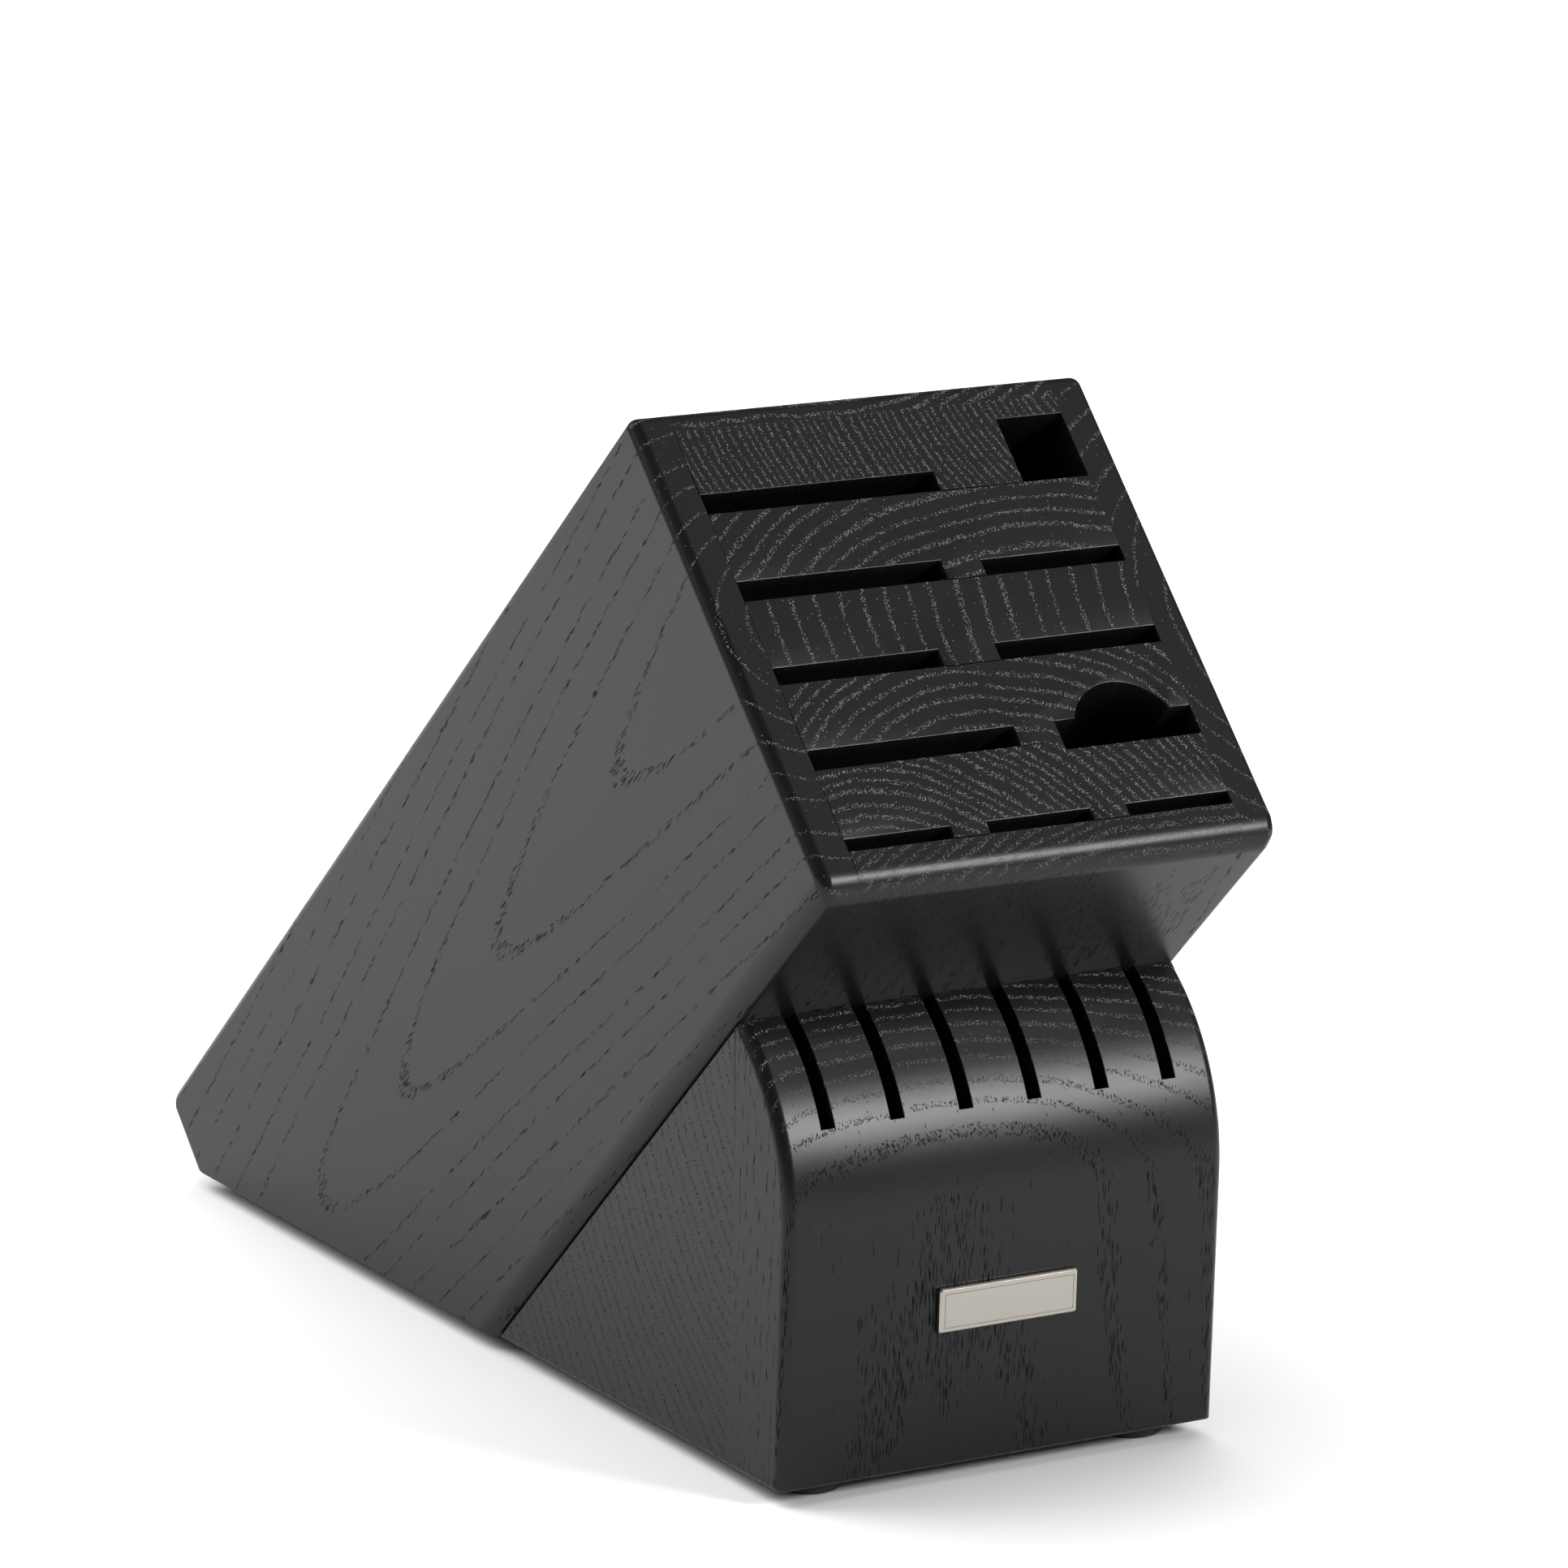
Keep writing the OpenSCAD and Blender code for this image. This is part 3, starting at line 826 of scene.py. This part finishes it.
    dull = g.math("MULTIPLY_ADD", g.math("SUBTRACT", sanding, 0.5), g.math("MULTIPLY", end, 0.16), 0.32)
    dull = g.math("MULTIPLY_ADD", g.math("SUBTRACT", cloud, 0.5), 0.07, dull)
    dull = g.math("MULTIPLY_ADD", pore, 0.4, dull)
    height = g.math("MULTIPLY", pore, g.math("MULTIPLY_ADD", end, 0.05, -0.1))
    height = g.math("MULTIPLY_ADD", fibre, 0.010, height)
    height = g.math("MULTIPLY_ADD", g.math("MULTIPLY", sanding, end), 0.006, height)
    gloss = g.math("MULTIPLY_ADD", pore, -0.2, 0.285)
    return g.surface(Base_Color=colour, Roughness=dull, Specular_IOR_Level=gloss, Normal=g.bump(height))


# Rotation and shift of the row frame, in millimetres, into the stack frame
STACK_TURN = (math.radians(135), 0, 0)
STACK_SHIFT = (0, -FACE_T / MM, -FACE_W / MM)


def stack_ash(name, pith, spacing, **more):
    """Ash whose grain runs into the main block."""
    return ash_material(name, STACK_TURN, STACK_SHIFT, pith, spacing, **more)


def make_ash():
    """Materials of the eleven boards, by the board's name."""
    front_y = FRONT_Y / MM
    foot = FOOT_H / MM
    panel = dict(open_band=1.0, pore_size=0.35, density=0.72)
    upright = ((0, 0, 0), (0, -front_y, -foot))
    across = ((0, math.radians(90), 0), (-foot, -front_y, 0))
    return {
        "back_panel_board": stack_ash("ash_back_panel", (-30, -150), 3.2, seed=1.3),
        "core_board_1_milled": stack_ash(
            "ash_core_1", (100, -8), 2.2, wave=0.8, open_band=0.9, pore_size=0.34, seed=2.1
        ),
        "core_board_2_milled": stack_ash("ash_core_2", (27, 138), 4.2, wave=1.1, seed=3.7),
        "core_board_3_milled": stack_ash("ash_core_3", (105, 72), 6.4, wave=0.8, seed=4.4),
        "core_board_4_milled": stack_ash("ash_core_4", (-4, 142), 3.9, wave=1.5, seed=5.2),
        "core_board_5_milled": stack_ash("ash_core_5", (-50, 158), 3.0, wave=1.3, seed=6.9),
        "front_panel_board": stack_ash(
            "ash_front_panel", (40, 260), 2.6, density=0.55, pore_size=0.32, seed=7.5
        ),
        "left_side_panel_board": stack_ash(
            "ash_left_panel", (-42, 62), 7.2, taper=0.1, wave=0.9, seed=8.2, **panel
        ),
        "right_side_panel_board": stack_ash(
            "ash_right_panel", (96, 72), 6.4, taper=0.09, wave=1.2, seed=9.6, **panel
        ),
        "front_board_milled": ash_material(
            "ash_front_board", *upright, (-20, -311), 2.9, taper=0.015, wave=0.6, open_band=0.9,
            pore_size=0.34, density=0.74, pore_glint=0.27, seed=10.4,
        ),
        "wedge_board_milled": ash_material(
            "ash_wedge_board", *across, (140, -60), 3.6, taper=0.01, wave=0.9, open_band=1.1,
            pore_size=0.48, pore_glint=0.0, seed=11.8,
        ),
    }


def nickel_material():
    """Warm satin metal, brushed along its length."""
    g = Graph("satin_nickel")
    coords = g.add("TexCoord", {}).outputs["Object"]
    brush = g.noise(g.vector("MULTIPLY", coords, (60, 9000, 9000)), 1.0, 2.0, 0.6)
    cloud = g.noise(coords, 90.0, 2.0)
    dull = g.math("MULTIPLY_ADD", brush, 0.14, g.math("MULTIPLY_ADD", cloud, 0.08, 0.2))
    bump = g.bump(g.math("MULTIPLY", brush, 0.006))
    return g.surface(Base_Color=(0.39, 0.365, 0.33, 1), Metallic=1.0, Roughness=dull, Normal=bump)


def rubber_material():
    """Matt black rubber with a fine moulded texture."""
    g = Graph("foot_rubber")
    coords = g.add("TexCoord", {}).outputs["Object"]
    grit = g.noise(coords, 2600.0, 3.0, 0.6)
    scuff = g.noise(coords, 160.0, 3.0, 0.6)
    tone = g.ramp(scuff, 0.35, 0.8, 0.012, 0.03)
    dull = g.math("MULTIPLY_ADD", scuff, 0.2, 0.6)
    bump = g.bump(g.math("MULTIPLY", grit, 0.03))
    return g.surface(Base_Color=g.grey(tone), Roughness=dull, Normal=bump)


def foam_material():
    """Brown adhesive foam with small open cells."""
    g = Graph("adhesive_foam")
    coords = g.add("TexCoord", {}).outputs["Object"]
    cell = g.add("TexVoronoi", {"Vector": coords, "Scale": 4200.0}).outputs["Distance"]
    tone = g.ramp(cell, 0.1, 0.8, 0.02, 0.06)
    bump = g.bump(g.math("MULTIPLY", cell, 0.05))
    return g.surface(Base_Color=g.grey(tone, 0.75, 0.55), Roughness=0.85, Normal=bump)


def screw_material():
    """Zinc-plated steel with turning marks and faint tarnish."""
    g = Graph("plated_steel")
    coords = g.add("TexCoord", {}).outputs["Object"]
    marks = g.noise(g.vector("MULTIPLY", coords, (300, 300, 9000)), 1.0, 2.0)
    stain = g.noise(coords, 400.0, 3.0, 0.6)
    tone = g.ramp(stain, 0.3, 0.8, 0.55, 0.36)
    colour = g.grey(tone, 1.0, 1.03)
    dull = g.math("MULTIPLY_ADD", stain, 0.2, 0.22)
    bump = g.bump(g.math("MULTIPLY", marks, 0.008))
    return g.surface(Base_Color=colour, Metallic=1.0, Roughness=dull, Normal=bump)


def dowel_material():
    """Pale beech with short darker flecks along the grain."""
    g = Graph("beech_dowel")
    coords = g.add("TexCoord", {}).outputs["Object"]
    turned = {"Vector": coords, "Rotation": STACK_TURN, "Scale": (1 / MM, 1 / MM, 1 / MM)}
    spot = g.add("Mapping", turned).outputs[0]
    fibre = g.noise(g.vector("MULTIPLY", spot, (2.4, 0.12, 2.4)), 1.0, 3.0, 0.6)
    fleck = g.add("TexVoronoi", {"Vector": g.vector("MULTIPLY", spot, (1.6, 0.35, 1.6)), "Scale": 1.0})
    streaks = g.ramp(fibre, 0.2, 0.8, 0.45, 0.66)
    flecks = g.ramp(fleck.outputs["Distance"], 0.05, 0.3, 0.7, 1.0)
    colour = g.grey(g.math("MULTIPLY", streaks, flecks), 0.6333, 0.3333)
    bump = g.bump(g.math("MULTIPLY", fibre, 0.03))
    return g.surface(Base_Color=colour, Roughness=0.6, Normal=bump)


# ---------------------------------------------------------------- camera, light and floor


def make_camera():
    """Long lens from the front left, a little above the block."""
    azimuth, elevation, roll = math.radians(-32.0), math.radians(14.2), math.radians(1.70)
    distance = 1983.7 * MM
    target = Vector((-37.1, -98.2, 163.1)) * MM
    back = Vector((
        math.sin(azimuth) * math.cos(elevation),
        -math.cos(azimuth) * math.cos(elevation),
        math.sin(elevation),
    ))
    right = Vector((math.cos(azimuth), math.sin(azimuth), 0))
    up = back.cross(right)
    right_r = right * math.cos(roll) + up * math.sin(roll)
    up_r = up * math.cos(roll) - right * math.sin(roll)
    data = bpy.data.cameras.new("camera")
    data.sensor_width = 36
    data.lens = 192.35
    data.clip_start, data.clip_end = 0.05, 50
    camera = bpy.data.objects.new("camera", data)
    matrix = Matrix((right_r, up_r, back)).transposed().to_4x4()
    matrix.translation = target + back * distance
    camera.matrix_world = matrix
    bpy.context.scene.collection.objects.link(camera)
    bpy.context.scene.camera = camera


def area_light(name, place, target, size, power, size_y=None):
    """Rectangular light at place, facing target, with its power in watts."""
    data = bpy.data.lights.new(name, "AREA")
    data.shape = "RECTANGLE"
    data.size = size
    data.size_y = size_y or size
    data.energy = power
    light = bpy.data.objects.new(name, data)
    light.location = place
    light.rotation_euler = (Vector(target) - Vector(place)).to_track_quat("-Z", "Y").to_euler()
    bpy.context.scene.collection.objects.link(light)
    return light


def make_stage():
    """Plain pale floor, wide enough to fill the frame."""
    bm = bmesh.new()
    bmesh.ops.create_grid(bm, x_segments=2, y_segments=2, size=12)
    floor = finish_mesh("floor", bm)
    material = bpy.data.materials.new("floor_white")
    material.use_nodes = True
    shader = material.node_tree.nodes["Principled BSDF"]
    shader.inputs["Base Color"].default_value = (0.9, 0.9, 0.9, 1)
    shader.inputs["Roughness"].default_value = 0.9
    shader.inputs["Specular IOR Level"].default_value = 0.0
    floor.data.materials.append(material)


def make_light():
    """Soft light from above, on the floor's sides and the slot face, and a highlight from the right.

    The lights above and at the right of the floor stay out of reflections, so that the rounded
    edges stay dark.
    """
    area_light("overhead", (-1.2, 1.7, 3.0), (-0.5, 0.9, 0), 4.6, 176).visible_glossy = False
    area_light("floor_left", (-1.1, 0.95, 1.1), (-0.5, 0.7, 0), 1.2, 13)
    area_light("slot_face", (1.55, -0.7, 2.5), (0, 0, 0.2), 2.0, 6.5)
    area_light("floor_right", (1.2, 0.95, 1.3), (0.78, 0.75, 0), 1.6, 17).visible_glossy = False
    area_light("softbox", (0.86, -1.42, 0.88), (0, -0.12, 0.11), 0.45, 22, 0.5)
    world = bpy.data.worlds.new("studio")
    bpy.context.scene.world = world
    world.use_nodes = True
    world.node_tree.nodes["Background"].inputs["Color"].default_value = (1, 1, 1, 1)
    world.node_tree.nodes["Background"].inputs["Strength"].default_value = 0.16
    bpy.context.scene.view_settings.view_transform = "Standard"


# ---------------------------------------------------------------- build

make_camera()
make_stage()
make_light()

boards = [make_back_panel(), *make_core_boards(), make_front_panel()]
boards += [make_side_panel(-1), make_side_panel(1), *make_front_block()]
ash = make_ash()
for board in boards:
    board.data.materials.append(ash[board.name])

rubber = rubber_material()
for node in FEET:
    make_foot(node).data.materials.append(rubber)
make_screws().data.materials.append(screw_material())
make_plate().data.materials.append(nickel_material())
make_pad().data.materials.append(foam_material())
make_dowels().data.materials.append(dowel_material())
